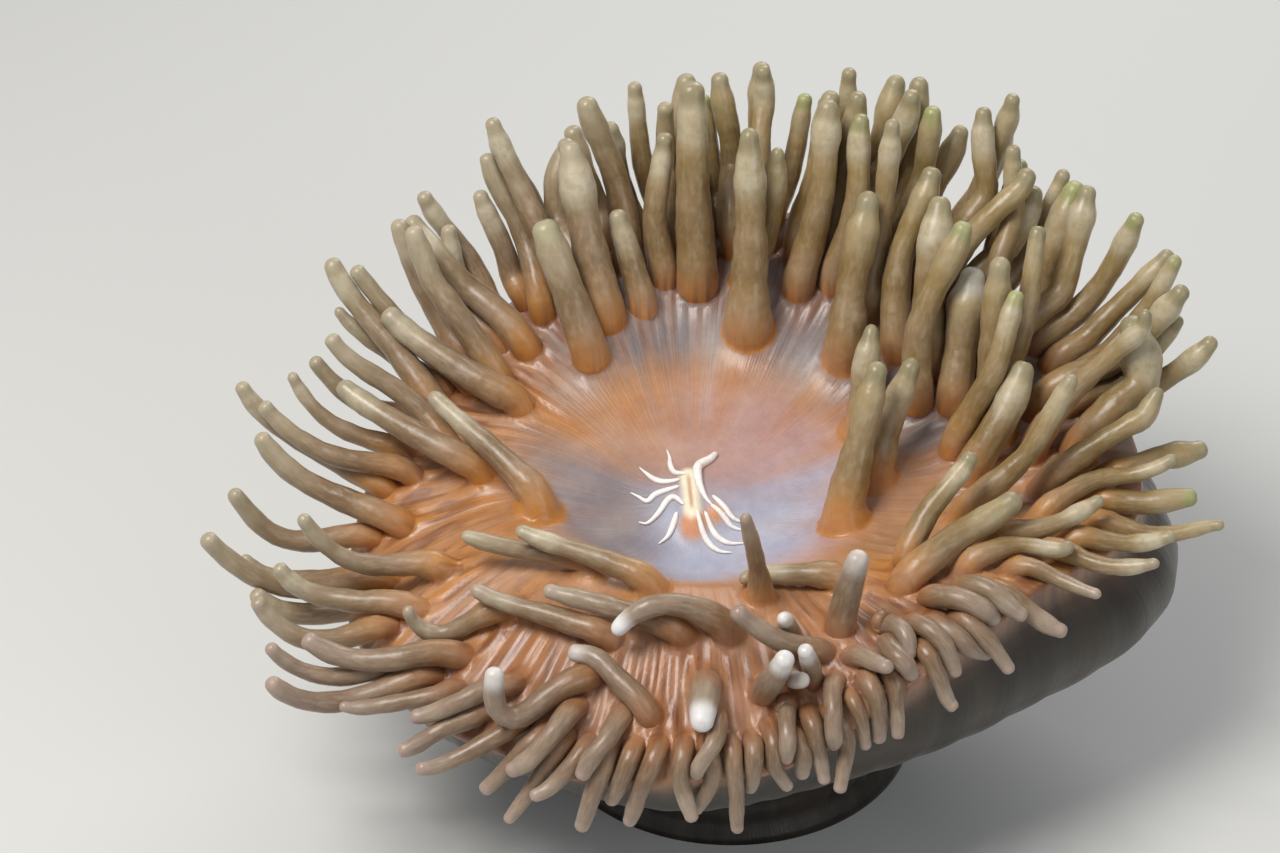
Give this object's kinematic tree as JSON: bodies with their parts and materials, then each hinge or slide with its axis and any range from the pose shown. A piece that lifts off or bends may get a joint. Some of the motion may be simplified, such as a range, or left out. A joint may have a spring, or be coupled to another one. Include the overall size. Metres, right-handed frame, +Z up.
{
  "type": "sea anemone model",
  "caption": "Life-size still model of a bubble-tip sea anemone: an open disc ringed by long finger-like tentacles, over a bag-shaped column on a round foot.",
  "frame": {"origin": "middle of the foot's underside, on the surface that it stands on", "axes": "+Z up along the column, -Y towards the viewer who looks into the bowl of the disc, +X towards the swollen side of the column"},
  "size_m": [0.199, 0.1521, 0.1202],
  "materials": {
    "foot": "matt wet flesh",
    "column": "smooth wet flesh",
    "oral_disc": "smooth wet flesh with fine radial lines",
    "mouth": "smooth wet flesh",
    "crown": "smooth wet flesh with radial streaks",
    "tentacle": "smooth wet flesh",
    "tentacle_tip": "smooth wet flesh, paler near the tip"
  },
  "bodies": {
    "root": {"foot": "foot", "column_stalk": "column", "column_bag": "column", "oral_disc": "oral_disc", "mouth": "mouth", "crown_000": "crown", "crown_030": "crown", "crown_060": "crown", "crown_090": "crown", "crown_120": "crown", "crown_150": "crown", "crown_180": "crown", "crown_210": "crown", "crown_240": "crown", "crown_270": "crown", "crown_300": "crown", "crown_330": "crown", "tentacle_primary_01_stem": "tentacle", "tentacle_primary_02_stem": "tentacle", "tentacle_primary_03_stem": "tentacle", "tentacle_primary_04_stem": "tentacle", "tentacle_primary_05_stem": "tentacle", "tentacle_primary_06_stem": "tentacle", "tentacle_primary_07_stem": "tentacle", "tentacle_primary_08_stem": "tentacle", "tentacle_primary_09_stem": "tentacle", "tentacle_primary_10_stem": "tentacle", "tentacle_primary_11_stem": "tentacle", "tentacle_primary_12_stem": "tentacle", "tentacle_primary_01_tip": "tentacle_tip", "tentacle_primary_02_tip": "tentacle_tip", "tentacle_primary_03_tip": "tentacle_tip", "tentacle_primary_04_tip": "tentacle_tip", "tentacle_primary_05_tip": "tentacle_tip", "tentacle_primary_06_tip": "tentacle_tip", "tentacle_primary_07_tip": "tentacle_tip", "tentacle_primary_08_tip": "tentacle_tip", "tentacle_primary_09_tip": "tentacle_tip", "tentacle_primary_10_tip": "tentacle_tip", "tentacle_primary_11_tip": "tentacle_tip", "tentacle_primary_12_tip": "tentacle_tip", "tentacle_secondary_01": "tentacle", "tentacle_secondary_02": "tentacle", "tentacle_secondary_03": "tentacle", "tentacle_secondary_04": "tentacle", "tentacle_secondary_05": "tentacle", "tentacle_secondary_06": "tentacle", "tentacle_secondary_07": "tentacle", "tentacle_secondary_08": "tentacle", "tentacle_secondary_09": "tentacle", "tentacle_secondary_10": "tentacle", "tentacle_secondary_11": "tentacle", "tentacle_secondary_12": "tentacle"}
  },
  "joints": []
}
